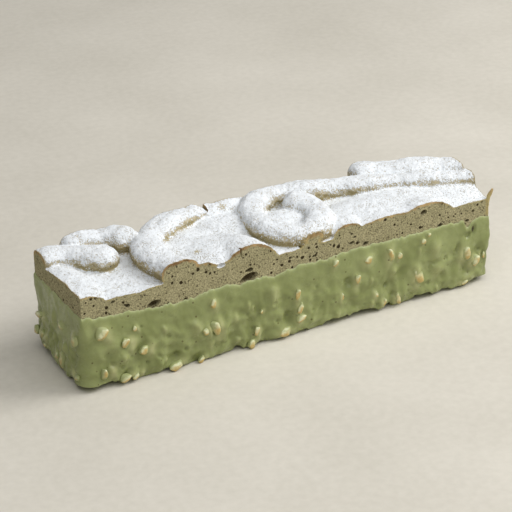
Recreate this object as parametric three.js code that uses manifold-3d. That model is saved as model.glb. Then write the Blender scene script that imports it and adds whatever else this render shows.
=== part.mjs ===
// A matcha loaf cake: a long trimmed block of green-tea sponge, with piped ropes of the same
// batter baked onto its top, standing in a thin shell of green glaze full of chopped almonds.
// Millimetres. +X runs along the loaf, +Y to its back and +Z up; the origin is the point of the
// floor under the middle of the loaf.

import * as THREE from 'three';
import { mergeVertices } from 'three/addons/utils/BufferGeometryUtils.js';
import Module from 'manifold-3d';

const wasm = await Module();
wasm.setup();

// ---- Driving dimensions ----
const SPONGE_LENGTH = 219.2;
const SPONGE_WIDTH = 52.4;
const SPONGE_TOP = 44.7;        // top of the plain block, between the ropes
const TOP_SWELL = 0.45;         // gentle unevenness of that top
const TOP_CELL = 7.5;           // facet length on the block's top
const GAP = 0.3;                // clear gap between sponge and glaze
const GLAZE_FLOOR = 1.7;        // glaze under the sponge
const GLAZE_RIM_OUT = 0.55;     // thickness of the glaze at its upper rim
const GLAZE_BELLY_OUT = 0.7;    // how much further out the glaze stands low on the wall
const GLAZE_BELLY_DROP = 20;    // height below the rim over which it gets there
const GLAZE_LUMP = 0.4;         // unevenness of the poured wall
const GLAZE_CORNER = 1.2;       // radius of the upright corners
const GLAZE_FOOT = 5;           // height over which the wall tucks in to the floor
const GLAZE_TUCK = 2.6;         // how far it tucks in there
const GLAZE_CELL = 4.8;         // facet length round the wall
const GLAZE_LEVELS = 8;
const LEVEL_CROWDING = 1.6;     // over 1 the levels lie closer together near the floor
const ROPE_SIDES = 12;
const ROPE_STEP = 4.6;          // facet length along a rope
const ROPE_DEPTH = 5.8;         // half the height of a rope's section
const ROPE_FULLNESS = 0.85;     // under 1 the section is squarer than an ellipse
const ROPE_WOBBLE = 0.06;       // share by which a rope swells and thins along its way
const ROPE_WOBBLE_RATE = 0.21;  // radians of that per millimetre
const SWELLING_SUNK = 3;        // how far a swelling's dome is sunk into the block
const SWELLING_SPREAD = 1.25;   // the sunk dome's size over the swelling's own
const HEADROOM = 40;            // clear height of the cutting blocks over the plain top
const WIDEST_NUT = 3.1;         // half-lengths of the scattered almond pieces
const SMALLEST_NUT = 1.1;
const NUT_PITCH = 15.5;         // mean distance between scattered pieces
const NUT_ROWS = 3;
const NUT_LOW = 2.5;            // height of the lowest scattered pieces
const NUT_HIGH_CLEAR = 4.5;     // how far under the rim the highest ones stay
const NUT_CLEAR = 8;            // least distance to one of the listed pieces
const NUT_END_CLEAR = 4;        // and to the wall's upright corners
const NUT_SEED = 4107;

// Height of the glaze's rim along the front, as [x, z], from the left corner to the right one.
const FRONT_RIM = [
  [-110, 38.6], [-97, 36.6], [-86, 36.1], [-76, 34.6], [-55, 33.9], [-45, 36], [-35, 36],
  [-29, 34.4], [-19, 35.7], [-11, 34.1], [3, 36.3], [16, 35.4], [30, 37.1], [58, 36.3],
  [87, 36.5], [110, 35.1],
];
const LEFT_RIM = 38.4;
const BACK_RIM = 36.4;
const RIGHT_RIM = 35.6;

// Piped ropes: the path on the top as [x, y], half the width and the rise over the plain top, each
// at the path's start and end.
const ROPES = [
  { path: [[-109.5, -36], [-110, -12], [-107, 6]], half: [10, 12], rise: [4.9, 3.6] },
  {
    path: [[-76.5, 2.5], [-83.5, 6], [-92, 13], [-101, 18.8], [-110, 18.5], [-119, 16]],
    half: [7.9, 7.4],
    rise: [8.6, 5.6],
  },
  {
    path: [[-98, 25.5], [-88, 24], [-78, 23], [-69, 20], [-69.5, 9.5]],
    half: [4.6, 7.8],
    rise: [7.6, 9.4],
  },
  {
    path: [
      [-21.5, 25], [-29, 24.8], [-38, 22.5], [-48, 17.5], [-57, 10.5], [-62.5, 1.5], [-63.5, -8],
      [-61.5, -18], [-58, -36],
    ],
    half: [6.8, 9.2],
    rise: [8.8, 10],
  },
  { path: [[10, 29], [0, 27.5], [-12, 25.5], [-26, 24]], half: [6.4, 6], rise: [6.2, 6.2] },
  {
    path: [
      [118, -12], [109, -8.5], [98, -4.2], [88, 0.2], [75, 6], [60, 10.8], [47, 15.8], [34, 18.8],
      [22, 23], [10.5, 22.8], [2, 17.3], [-3.6, 8.3], [-4.8, -2.5], [-1.5, -13.5], [5.8, -20.4],
      [15, -20], [22.5, -11.5], [25.2, -1.5], [23, 7.5], [15.5, 13.5],
    ],
    half: [5, 7.8],
    rise: [8.6, 9],
  },
  { path: [[-23, -38], [-23, -22], [-27, -6]], half: [10.6, 9.5], rise: [8.4, 5.5] },
  {
    path: [[60, 18], [68, 21.3], [77, 18], [86, 13.5], [98, 9.5], [109, 3.5], [119, -1]],
    half: [7.6, 7.4],
    rise: [9.8, 10.2],
  },
  { path: [[29.5, -38], [30.5, -21], [39, -10]], half: [8, 8.6], rise: [7.2, 4.6] },
  { path: [[36, -21], [48, -23.5], [62, -22], [75, -25], [90, -29]], half: [8, 8.6], rise: [4.2, 6] },
];

// Broad low swellings of the top: centre, half-lengths along x and y, and rise.
const SWELLINGS = [
  { at: [-104, -5], half: [12, 20], rise: 3.9 },
  { at: [-42, 3], half: [17, 19], rise: 3.2 },
  { at: [-34, -15], half: [15, 13], rise: 4 },
  { at: [-47.5, -28], half: [7, 8], rise: 5.8 },
  { at: [60, -8.5], half: [32, 14.5], rise: 4.8 },
  { at: [97, -11], half: [20, 11.5], rise: 3.2 },
];

// Open pores in the cut front: [x, z, width, height].
const PORES = [
  [-73.5, 36.1, 7.1, 3.2], [-24.4, 36.2, 9.9, 3.6], [31.4, 40.3, 3.3, 1.9], [39.2, 38.2, 3.3, 2],
  [71.9, 46.4, 3.6, 2.6], [-86.4, 38.9, 2.4, 1.9],
];
const PORE_DEPTH = 1.6;

// The almond pieces that stand out most: [position along the wall, z, width, height].
const FRONT_NUTS = [
  [-100.9, 29.7, 5.5, 6.4], [-89.5, 21.2, 3.3, 4.6], [-80.7, 15.5, 4.4, 3.4],
  [-100.7, 8.8, 3.3, 4.6], [-90.4, 3.6, 4.4, 3.4], [-44.2, 29.3, 3.3, 4], [-43.5, 16.5, 3.8, 6.3],
  [-64.9, 2.4, 4.9, 4.6], [-24.8, 2.6, 3.8, 4], [-22, 8.2, 2.4, 4.6], [-6.9, 3.9, 6.6, 4],
  [0.4, 21.3, 2.2, 5.7], [1.9, 9, 4.4, 3.4], [21.3, 33, 2.7, 3.2], [39.6, 30.1, 4.9, 3.4],
  [52, 29.6, 3.8, 6.4], [67.8, 14.5, 4.4, 7.4], [33.5, 21, 2.7, 4.6], [56.4, 4.9, 2.4, 5.2],
  [95.8, 19.3, 4.4, 6.4], [101.3, 13.9, 3.8, 5.2],
];
const LEFT_NUTS = [
  [18.6, 21, 6, 3.4], [15.5, 11.2, 4.2, 4.6], [-6.5, 26.6, 4.2, 2.6], [-6, 8.5, 3.6, 7.6],
  [-22, 25.8, 3.2, 4.4],
];

// ---- Joining and cutting ----
function toSolid(geometry) {
  const bare = geometry.clone();
  bare.deleteAttribute('normal');
  bare.deleteAttribute('uv');
  const merged = mergeVertices(bare, 1e-3);
  const corners = merged.index.array;
  const triangles = [];
  for (let i = 0; i < corners.length; i += 3) {
    const [a, b, c] = corners.slice(i, i + 3);
    if (a !== b && b !== c && c !== a) {
      triangles.push(a, b, c);
    }
  }
  return new wasm.Manifold(new wasm.Mesh({
    numProp: 3,
    vertProperties: new Float32Array(merged.attributes.position.array),
    triVerts: new Uint32Array(triangles),
  }));
}

function toGeometry(solid) {
  const mesh = solid.getMesh();
  const geometry = new THREE.BufferGeometry();
  geometry.setAttribute('position', new THREE.BufferAttribute(new Float32Array(mesh.vertProperties), 3));
  geometry.setIndex(new THREE.BufferAttribute(new Uint32Array(mesh.triVerts), 1));
  geometry.computeVertexNormals();
  return geometry;
}

function block(length, width, bottom, top) {
  const box = new THREE.BoxGeometry(length, width, top - bottom);
  box.translate(0, 0, (top + bottom) / 2);
  return toSolid(box);
}

// The outer skin alone, so that a pocket shut in between two ropes is filled.
function filled(solid) {
  return solid.decompose().reduce((outer, skin) => (skin.volume() > outer.volume() ? skin : outer));
}

// Moves every vertex of a geometry; change is given the vertex and alters it.
function reshape(geometry, change) {
  const places = geometry.attributes.position;
  const point = new THREE.Vector3();
  for (let i = 0; i < places.count; i += 1) {
    point.fromBufferAttribute(places, i);
    change(point);
    places.setXYZ(i, point.x, point.y, point.z);
  }
  return geometry;
}

// A repeatable draw from 0 to 1.
function draws(seed) {
  let state = seed;
  return () => {
    state = (state * 1664525 + 1013904223) % 4294967296;
    return state / 4294967296;
  };
}

// Slow unevenness from -1 to 1 over space, with lumps about 15 to 40 mm apart.
function unevenness(x, y, z) {
  const slow = Math.sin(x * 0.17 + y * 0.11 + 1.3) * Math.cos(y * 0.23 - z * 0.19 + 0.4);
  const quick = Math.sin(x * 0.41 - z * 0.33 + y * 0.29) * Math.cos(z * 0.45 + x * 0.13 + 2.1);
  return 0.55 * slow + 0.45 * quick;
}

// Height read off a line of [position, height] points.
function along(line, position) {
  const next = line.findIndex(([at]) => at >= position);
  if (next <= 0) {
    return next === 0 ? line[0][1] : line[line.length - 1][1];
  }
  const [from, low] = line[next - 1];
  const [to, high] = line[next];
  return THREE.MathUtils.lerp(low, high, (position - from) / (to - from));
}

// ---- Sponge ----
function plainBlock() {
  const margin = 4;
  const length = SPONGE_LENGTH + 2 * margin;
  const width = SPONGE_WIDTH + 2 * margin;
  const bottom = GLAZE_FLOOR + GAP - margin;
  const cellsLong = Math.round(length / TOP_CELL);
  const cellsWide = Math.round(width / TOP_CELL);
  const box = new THREE.BoxGeometry(length, width, SPONGE_TOP - bottom, cellsLong, cellsWide, 1);
  box.translate(0, 0, (SPONGE_TOP + bottom) / 2);
  return toSolid(reshape(box, (p) => {
    if (p.z > SPONGE_TOP - 1) {
      p.z += TOP_SWELL * unevenness(p.x, p.y, 0);
    }
  }));
}

// A capsule bent along the rope's path, its round section made wide and low.
function rope({ path, half, rise }) {
  const knots = path.map(([x, y]) => new THREE.Vector3(x, y, 0));
  const course = new THREE.CatmullRomCurve3(knots, false, 'centripetal');
  const length = course.getLength();
  const cap = Math.min(half[0], half[1]);
  const steps = Math.round((length - 2 * cap) / ROPE_STEP);
  const capsule = new THREE.CapsuleGeometry(cap, length - 2 * cap, 3, ROPE_SIDES, steps);
  const plump = (value) => Math.sign(value) * Math.abs(value) ** ROPE_FULLNESS;
  return toSolid(reshape(capsule, (p) => {
    const t = THREE.MathUtils.clamp(p.y / length + 0.5, 0, 1);
    const here = course.getPointAt(t);
    const ahead = course.getTangentAt(t);
    const wobble = 1 + ROPE_WOBBLE * Math.sin(t * length * ROPE_WOBBLE_RATE + path.length);
    const reach = THREE.MathUtils.lerp(half[0], half[1], t) * wobble;
    const radius = Math.hypot(p.x, p.z);
    const size = radius / cap;
    const turn = Math.atan2(p.z, p.x);
    const across = plump(Math.cos(turn)) * size * reach;
    const up = plump(Math.sin(turn)) * size * ROPE_DEPTH;
    const middle = SPONGE_TOP + THREE.MathUtils.lerp(rise[0], rise[1], t) * wobble - ROPE_DEPTH;
    p.set(here.x + ahead.y * across, here.y - ahead.x * across, middle + up);
  }));
}

function swelling({ at, half, rise }) {
  const dome = new THREE.SphereGeometry(1, 18, 10);
  dome.rotateX(Math.PI / 2);
  dome.scale(half[0] * SWELLING_SPREAD, half[1] * SWELLING_SPREAD, rise + SWELLING_SUNK);
  dome.translate(at[0], at[1], SPONGE_TOP - SWELLING_SUNK);
  return toSolid(dome);
}

function pore([x, z, width, height]) {
  const hollow = new THREE.SphereGeometry(1, 10, 6);
  hollow.scale(width / 2, PORE_DEPTH, height / 2);
  hollow.translate(x, -SPONGE_WIDTH / 2, z);
  return toSolid(hollow);
}

// The thin flake of crust that stands up and out at the front right corner.
function cornerFlake() {
  const foot = new THREE.Vector3(108.3, -25.3, 42.2);
  const tip = new THREE.Vector3(111.6, -26.4, 48.8);
  const flake = new THREE.CylinderGeometry(0.3, 1.2, foot.distanceTo(tip), 6, 2);
  const lean = tip.clone().sub(foot).normalize();
  flake.applyQuaternion(new THREE.Quaternion().setFromUnitVectors(new THREE.Vector3(0, 1, 0), lean));
  const middle = foot.clone().add(tip).multiplyScalar(0.5);
  flake.translate(middle.x, middle.y, middle.z);
  return toSolid(flake);
}

function sponge() {
  let baked = plainBlock();
  for (const entry of SWELLINGS) {
    baked = baked.add(swelling(entry));
  }
  for (const entry of ROPES) {
    baked = baked.add(rope(entry));
  }
  const trim = block(SPONGE_LENGTH, SPONGE_WIDTH, GLAZE_FLOOR + GAP, SPONGE_TOP + HEADROOM);
  let cake = filled(baked.intersect(trim));
  for (const entry of PORES) {
    cake = cake.subtract(pore(entry));
  }
  return cake.add(cornerFlake());
}

// ---- Glaze ----
const INNER_LENGTH = SPONGE_LENGTH + 2 * GAP;
const INNER_WIDTH = SPONGE_WIDTH + 2 * GAP;
const RIM_LENGTH = INNER_LENGTH + 2 * GLAZE_RIM_OUT;
const RIM_WIDTH = INNER_WIDTH + 2 * GLAZE_RIM_OUT;

// Direction out of the wall at a point of its outline; both are round at the upright corners.
function outward(x, y) {
  const straightX = RIM_LENGTH / 2 - GLAZE_CORNER;
  const straightY = RIM_WIDTH / 2 - GLAZE_CORNER;
  const dx = x - THREE.MathUtils.clamp(x, -straightX, straightX);
  const dy = y - THREE.MathUtils.clamp(y, -straightY, straightY);
  return new THREE.Vector2(dx, dy).normalize();
}

function rimHeight(x, y) {
  const ripple = 0.7 * Math.sin(x * 0.62 + y * 0.5) + 0.4 * Math.sin(x * 1.1 - y * 0.9);
  const out = outward(x, y);
  if (out.y < -0.7) {
    return along(FRONT_RIM, x) + 0.4 * ripple;
  }
  if (out.x < -0.7) {
    return LEFT_RIM + 0.4 * ripple;
  }
  return (out.x > 0.7 ? RIGHT_RIM : BACK_RIM) + 0.7 * ripple;
}

// How far the glaze's face stands out of its own rim's line at a height.
function wallOut(x, y, z) {
  const down = THREE.MathUtils.smoothstep(rimHeight(x, y) - z, 0, GLAZE_BELLY_DROP);
  const low = THREE.MathUtils.clamp(1 - z / GLAZE_FOOT, 0, 1);
  const tuck = GLAZE_TUCK * (1 - Math.sqrt(1 - low * low)) * (1 + 0.35 * unevenness(2 * x, 2 * y, 9));
  return (GLAZE_BELLY_OUT + GLAZE_LUMP * unevenness(x, y, z)) * down - tuck;
}

// The rim's outline seen from above: three points round each corner, and even steps between.
function rimOutline() {
  const straightX = RIM_LENGTH / 2 - GLAZE_CORNER;
  const straightY = RIM_WIDTH / 2 - GLAZE_CORNER;
  const signs = [[1, 1], [-1, 1], [-1, -1], [1, -1]];
  const middles = signs.map(([x, y]) => new THREE.Vector2(x * straightX, y * straightY));
  const points = [];
  middles.forEach((middle, corner) => {
    const onArc = (part) => {
      const angle = ((corner + part) * Math.PI) / 2;
      return new THREE.Vector2(Math.cos(angle), Math.sin(angle)).multiplyScalar(GLAZE_CORNER).add(middle);
    };
    points.push(onArc(0), onArc(0.5), onArc(1));
    const gone = middles[(corner + 1) % 4].clone().sub(middle);
    const steps = Math.round(gone.length() / GLAZE_CELL);
    for (let step = 1; step < steps; step += 1) {
      points.push(onArc(1).addScaledVector(gone, step / steps));
    }
  });
  return new THREE.Shape(points);
}

function wall() {
  const upright = { depth: 1, steps: GLAZE_LEVELS, bevelEnabled: false };
  const body = new THREE.ExtrudeGeometry(rimOutline(), upright);
  return toSolid(reshape(body, (p) => {
    const z = rimHeight(p.x, p.y) * p.z ** LEVEL_CROWDING;
    const out = outward(p.x, p.y);
    const reach = wallOut(p.x, p.y, z);
    p.set(p.x + out.x * reach, p.y + out.y * reach, z);
  }));
}

// A chopped piece of almond: a lumpy many-sided stone, half sunk in the wall.
function nut(x, y, z, wide, high, random) {
  const out = outward(x, y);
  const stone = new THREE.IcosahedronGeometry(1, 0);
  stone.rotateX(random() * Math.PI);
  stone.rotateZ(random() * Math.PI);
  const deep = 0.3 * Math.min(wide, high) + 0.5;
  stone.scale(wide / 2, deep, high / 2);
  stone.rotateY((random() - 0.5) * 0.9);
  stone.rotateZ(Math.atan2(out.y, out.x) + Math.PI / 2);
  const reach = wallOut(x, y, z) + 0.1 * deep;
  stone.translate(x + out.x * reach, y + out.y * reach, z);
  return toSolid(stone);
}

function seenNuts(random) {
  const left = -RIM_LENGTH / 2;
  const front = -RIM_WIDTH / 2;
  return [
    ...FRONT_NUTS.map(([x, z, wide, high]) => nut(x, front, z, wide, high, random)),
    ...LEFT_NUTS.map(([y, z, wide, high]) => nut(left, y, z, wide, high, random)),
  ];
}

// One piece in each cell of a loose grid over a face of the wall, skipping the taken places.
function scatteredNuts(halfLength, place, taken, random) {
  const reach = halfLength - NUT_END_CLEAR;
  const columns = Math.round((2 * reach) / NUT_PITCH);
  const tall = BACK_RIM - NUT_LOW - NUT_HIGH_CLEAR;
  const pieces = [];
  for (let column = 0; column < columns; column += 1) {
    for (let row = 0; row < NUT_ROWS; row += 1) {
      const at = -reach + ((column + 0.15 + 0.7 * random()) * 2 * reach) / columns;
      const z = NUT_LOW + ((row + 0.1 + 0.8 * random()) * tall) / NUT_ROWS;
      const size = SMALLEST_NUT + (WIDEST_NUT - SMALLEST_NUT) * random() ** 1.7;
      const free = taken.every(([a, b]) => Math.hypot(a - at, b - z) > NUT_CLEAR);
      if (free) {
        const [x, y] = place(at);
        const wide = size * (1.1 + 0.7 * random());
        const high = size * (1.2 + 0.9 * random());
        pieces.push(nut(x, y, z, wide, high, random));
      }
    }
  }
  return pieces;
}

function glaze() {
  const random = draws(NUT_SEED);
  const right = RIM_LENGTH / 2;
  const back = RIM_WIDTH / 2;
  const nuts = [
    ...seenNuts(random),
    ...scatteredNuts(right, (at) => [at, -back], FRONT_NUTS, random),
    ...scatteredNuts(right, (at) => [at, back], [], random),
    ...scatteredNuts(back, (at) => [-right, at], LEFT_NUTS, random),
    ...scatteredNuts(back, (at) => [right, at], [], random),
  ];
  let shell = wall();
  for (const piece of nuts) {
    shell = shell.add(piece);
  }
  const hollow = block(INNER_LENGTH, INNER_WIDTH, GLAZE_FLOOR, SPONGE_TOP + HEADROOM);
  const underfloor = block(2 * INNER_LENGTH, 2 * INNER_WIDTH, -HEADROOM, 0);
  return shell.subtract(hollow).subtract(underfloor);
}

// ---- Scene ----
function piece(name, solid, color, roughness) {
  const material = new THREE.MeshStandardMaterial({ color, roughness, metalness: 0 });
  const mesh = new THREE.Mesh(toGeometry(solid), material);
  mesh.name = name;
  return mesh;
}

const cake = new THREE.Group();
cake.add(piece('sponge', sponge(), '#c9c3ad', 0.95));
cake.add(piece('glaze', glaze(), '#828a58', 0.45));

export default cake;
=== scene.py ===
"""A matcha loaf cake on a plain pale floor.

A long trimmed block of green-tea sponge has ropes of the same batter piped and baked onto its top,
with icing sugar sifted over them. It stands in a thin shell of green glaze full of chopped almonds.
Sizes are in millimetres, and become metres where a mesh is made. +X runs along the loaf, +Y to its
back and +Z up.
"""
import math

import bmesh
import bpy
import numpy as np
from mathutils import Matrix, Vector, noise
from mathutils.bvhtree import BVHTree


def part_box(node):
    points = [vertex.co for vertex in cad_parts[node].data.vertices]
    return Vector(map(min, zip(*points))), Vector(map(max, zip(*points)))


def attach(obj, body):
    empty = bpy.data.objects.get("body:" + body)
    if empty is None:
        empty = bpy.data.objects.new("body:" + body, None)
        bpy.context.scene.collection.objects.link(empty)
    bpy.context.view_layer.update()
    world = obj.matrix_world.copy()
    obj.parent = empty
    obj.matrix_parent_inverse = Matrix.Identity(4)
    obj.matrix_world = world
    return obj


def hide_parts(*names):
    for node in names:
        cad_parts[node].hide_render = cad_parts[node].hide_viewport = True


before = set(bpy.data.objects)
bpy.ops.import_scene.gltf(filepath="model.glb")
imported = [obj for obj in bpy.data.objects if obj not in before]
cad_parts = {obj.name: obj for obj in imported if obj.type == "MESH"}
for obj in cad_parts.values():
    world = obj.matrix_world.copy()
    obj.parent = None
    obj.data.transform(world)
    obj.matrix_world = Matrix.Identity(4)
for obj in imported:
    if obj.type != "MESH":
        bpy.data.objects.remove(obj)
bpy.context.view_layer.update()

MM = 0.001
sponge_low, sponge_high = (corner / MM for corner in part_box("sponge"))

# ---- The cake's own sizes ----
HALF_LENGTH = -sponge_low.x     # the left end and the back are cut flat
HALF_WIDTH = sponge_high.y
SPONGE_BOTTOM = sponge_low.z
SPONGE_TOP = 44.7               # top of the plain block, between the ropes
TRIMMED_OFF = 4                 # what the knife takes off each side
HEADROOM = 14                   # height over the plain top that the highest rope stays under
TOP_CELL = 1                    # fineness of the plain top
SWELLING_SUNK = 3               # how far a swelling's dome is sunk into the block
SWELLING_SPREAD = 1.25          # the sunk dome's size over the swelling's own
SWELLING_BLEND = 1.6            # fillet where a swelling meets the top
ROPE_DEPTH = 5.8                # half the height of a rope's section
ROPE_FULLNESS = 0.85            # under 1 the section is squarer than an ellipse
ROPE_WOBBLE = 0.06              # share by which a rope swells and thins along its way
ROPE_WOBBLE_RATE = 0.21         # radians of that per millimetre
BAKED_VOXEL = 0.62              # fineness of the baked top
CUT_FROM = 32                   # the cut faces are fine above this height, which the glaze hides
CUT_CELL = 0.75                 # how fine
CUT_CORNER = 0.35
HIDDEN_CORNER = 4               # the block's corner behind the glaze
HIDDEN_TAPER = 2.2              # how much the block narrows there towards its bottom
CRUST_REACH = 6                 # depth below the baked top that is measured for the browned line
ON_SKIN = 0.1                   # a face nearer than this to the untrimmed loaf's skin is baked top
SPONGE_SOFT = 42                # degrees; a sharper edge is shaded crisp
BAKED_FROM = SPONGE_TOP - 6     # the baked skin reaches no lower

GAP = 0.3                       # between the cut sponge and the inside of the glaze
GLAZE_FLOOR = 1.7               # thickness under the sponge
RIM_OUT = 0.55                  # thickness of the glaze at its rim
BELLY_OUT = 0.7                 # how much further out it stands low on the wall
BELLY_DROP = 20                 # height below the rim over which it gets there
GLAZE_CORNER = 1.2              # at the rim
GLAZE_LOW_CORNER = 6            # where it hangs thickest
RIGHT_ROUNDED = 0.4             # share of that rounding which the right end's corners have
ROUNDED_FROM = 4                # depth below the rim at which the corners begin to get rounder
ROUNDED_OVER = 12               # height over which they do
GLAZE_FOOT = 6                  # height over which the wall tucks in to the floor
GLAZE_TUCK = 2.4                # how far it tucks in
FOOT_LIFT = 3.2                 # how far the foot's edge stays off the floor between drips
FOOT_RECESS = 12                # how far the dark gap below it reaches in
FOOT_RECESS_HIGH = 1.4          # and how high it is inside
GLAZE_CELL = 0.55               # fineness of the wall along its outline
GLAZE_ROWS = 64                 # and up it
GLAZE_SOFT = 70                 # degrees; a sharper edge is shaded crisp
GLAZE_SMOOTH_ABOVE = 30         # height above which the wall is fairly even
PIT_COUNT = 150
PIT_DEPTH = 0.7                 # over the pit's radius
FEATHERED = 0.7                 # depth below the rim over which the glaze thins to it

# Unevenness of each surface, in layers: the size of the lumps, their height and a seed.
TOP_LUMPS = [(10, 0.8, 3.7)]
BAKED_LUMPS = [(3.4, 0.32, 5.5), (1.5, 0.25, 9.2)]
TORN_LUMPS = [(11, 0.16, 8.1), (1.3, 0.16, 2.6)]
RUBBED_LUMPS = [(9, 3, 4.4)]
RIM_LUMPS = [(3.2, 0.5, 2.2)]
RIM_TEETH = [(1.5, 0.7, 5.1)]
FOOT_LUMPS = [(8, 2.4, 3.3), (2.6, 0.8, 1.3)]
GLAZE_ROLLS = [(7.5, 1.6, 4.4)]
GLAZE_HOLLOWS = [(3.6, 0.85, 7.7)]
GLAZE_GRAIN = [(1.5, 0.07, 1.9)]

# Piped ropes: the path on the top as (x, y), half the width and the rise over the plain top, each at
# the path's start and end.
ROPES = [
    ([(-109.5, -36), (-109.5, -12), (-107, 6)], (14, 14.5), (4.7, 3.8)),
    (
        [(-76.5, 2.5), (-83.5, 6), (-92, 13), (-101, 18.8), (-108, 18.8), (-113.5, 17.5)],
        (7.9, 7.6), (8.6, 7.6),
    ),
    ([(-97, 24.5), (-92, 24.5), (-86, 24.2), (-80, 23.5), (-74, 22)], (5.4, 6), (10.2, 8.4)),
    ([(-84, 23.5), (-75, 22.5), (-68.5, 18), (-69.5, 9.5)], (6, 7.8), (9, 9.6)),
    (
        [(-21.5, 25), (-29, 24.8), (-38, 22.5), (-48, 17.5), (-57, 10.5), (-62.5, 1.5), (-63.5, -8),
         (-61.5, -18), (-58, -36)],
        (6.8, 9.2), (8.8, 10),
    ),
    ([(12, 28.5), (2, 27.5), (-8, 26), (-27, 25)], (5, 6.6), (5, 8.4)),
    (
        [(118, -12), (109, -8.5), (98, -4.2), (88, 0.2), (75, 6), (60, 10.8), (47, 15.8), (34, 18.8),
         (22, 23), (10.5, 22.8), (2, 17.3), (-3.6, 8.3), (-4.8, -2.5), (-1.5, -13), (6, -19.4),
         (15, -18.8), (22.5, -11.2), (25.2, -1.5), (23, 7.5), (15.5, 13.5)],
        (5, 7.8), (8.6, 9),
    ),
    (
        [(60, 18), (68, 21.3), (77, 18), (86, 13.5), (98, 9.5), (109, 3.5), (119, -1)],
        (7.6, 7.4), (9.8, 10.2),
    ),
    ([(29.5, -38), (30.5, -21), (39, -10)], (8, 8.6), (7.2, 4.6)),
]

# Broad low swellings of the top: centre, half-lengths along x and y, and rise.
SWELLINGS = [
    ((-105, -5), (9, 20), 4.2), ((-42, 3), (17, 19), 3.8), ((-33, -13), (18, 17), 5.4),
    ((-47.5, -28), (7, 8), 5.8), ((60, -8.5), (32, 14.5), 4.8), ((97, -11), (20, 11.5), 3.2),
    ((-23, -30), (11.4, 27), 8.7), ((-17, 12), (17, 15), 4.2), ((73.5, -26), (12.8, 15), 6.1),
    ((52, -27), (20, 20), 4.7), ((9, 0), (12, 12), 5.4),
]

# Open pores in the cut front: (x, z, width, height, slant in degrees).
FRONT_PORES = [
    (-73.5, 36.2, 7.1, 3.8, 12), (-24.4, 36.6, 9.9, 4.6, 14), (-23.8, 40.5, 3.6, 2.4, 8),
    (-86.4, 38.9, 2.3, 1.8, 0), (-93.6, 43, 2.2, 1.4, 10), (31.4, 40.3, 3.3, 1.7, 8),
    (39.2, 38, 3.3, 2, 12), (81.4, 37, 3.3, 1.8, 8), (71.9, 46.4, 3.6, 2.8, 0),
    (97.3, 35.6, 2.4, 1.7, 0), (100.6, 40, 1.8, 1.8, 0), (3.5, 45.2, 1.5, 1.2, 0),
    (-2.2, 41.1, 1.9, 1.4, 20), (10.5, 38.8, 1.9, 1.2, 0), (33.1, 43, 1.9, 1.2, 10),
    (31.4, 45, 1.6, 1.1, 0), (12.2, 36.4, 1.4, 1.2, 0), (56.7, 38.1, 1.2, 1, 0),
]
PORE_DEPTH = 4.5
PORE_SHADE = 1.6                # depth in a pore by which it is quite dark
RUBBED = 0.7                    # the crust beside a cut edge is rubbed bare over this width
RUBBED_ABOVE = 47.5             # all along the ropes, above this height, and elsewhere in places

# Hollows in the baked top: centre, size and turn in degrees.
HOLLOWS = [
    ((-21.9, 25.6, 52.6), (2.2, 14, 7), 8),     # crack between the ends of two ropes
    ((-83.3, -1.4, 47.4), (1.5, 1.8, 1.2), 0),  # burst bubble in a rope's flank
    ((-5.7, 7, 54.2), (3.6, 1.4, 2.2), 35),     # dent in the ring
    ((-28, -27, 51.2), (1.0, 6, 6), 10),        # split in the crust at the front edge
    ((60.5, 1.2, 49.6), (2.6, 1.3, 1.6), 20),
]

# A notch in the top's front edge that sugar fell into: centre and size.
SUGARED_NOTCH = ((-38.7, -26.6, 46.8), (4.6, 4, 2.4))

# The strip of end crust at the front right corner: x of its middle and half its width, each against
# the share of its height.
FLAKE_FOOT = 35
FLAKE_TIP = 49.4
FLAKE_HALF_THICK = 0.5
FLAKE_LEAN = [(0, 109.3), (0.5, 109.2), (0.7, 109.4), (0.85, 110.3), (1, 111.6)]
FLAKE_WIDTH = [(0, 0.6), (0.5, 0.7), (0.62, 1.2), (0.8, 1.3), (0.93, 1.1), (1, 0.6)]

# Places where the sugar is rubbed off the top: (x, y, z, radius).
RUBBED_SPOTS = [
    (-86, -13.5, 46, 1.3), (-44, -12, 50, 1.6), (-12.4, 22.5, 50, 2), (-39, -20, 48, 1.2),
    (34, 2, 47.5, 0.8), (-7, -20, 47, 0.8), (-49.9, 8, 48.8, 2.4), (-45.5, 11.5, 48.8, 2.4),
    (-41.2, 14.4, 48.8, 2.4), (-37, 16.2, 48.8, 2.2), (-32.6, 17.6, 48.8, 2),
]

# Height of the glaze's rim along the front, as (x, z), and at the other sides.
FRONT_RIM = [
    (-110, 38.6), (-97, 36.6), (-86, 36.1), (-76, 34.6), (-55, 33.9), (-45, 36), (-35, 36),
    (-29, 34.4), (-19, 35.7), (-11, 34.1), (3, 36.3), (16, 35.4), (30, 37.1), (58, 36.3),
    (87, 36.5), (94.9, 35.9), (96.9, 31.6), (98.2, 32.6), (100.7, 35.7), (110, 35.1),
]
LEFT_RIM = 38.4
BACK_RIM = 36.4
RIGHT_RIM = 35.6

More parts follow.
